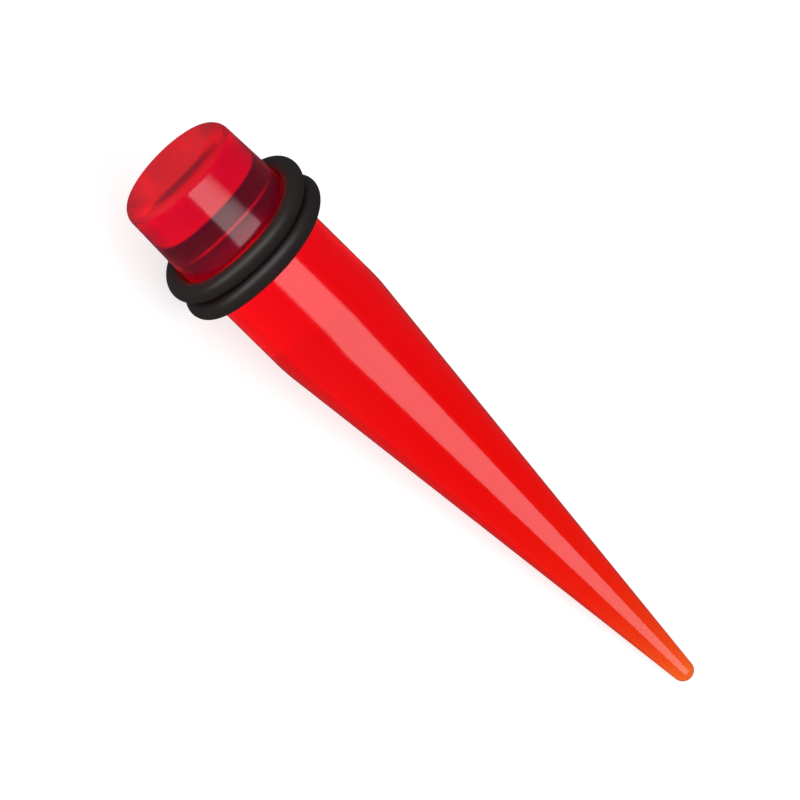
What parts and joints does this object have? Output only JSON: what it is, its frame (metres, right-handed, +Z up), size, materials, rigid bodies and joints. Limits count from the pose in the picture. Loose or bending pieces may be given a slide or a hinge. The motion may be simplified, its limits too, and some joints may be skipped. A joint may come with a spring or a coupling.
{
  "type": "ear stretching taper",
  "caption": "Clear red acrylic ear stretching taper: blunt round head, parallel shank and long cone to a rounded tip, with black rubber O-rings seated behind the head.",
  "frame": {"origin": "middle of the floor area under the resting taper, on the floor", "axes": "+Z up; +X along the floor from the head to the tip; the taper's own axis lies in the XZ plane and slopes 7 degrees down towards the tip"},
  "size_m": [0.0578, 0.0134, 0.0136],
  "materials": {
    "red_acrylic": "polished clear red acrylic",
    "black_rubber": "moulded black rubber, satin"
  },
  "bodies": {
    "root": {"taper_body": "red_acrylic", "head_o_ring": "black_rubber", "tip_o_ring": "black_rubber"}
  },
  "joints": []
}
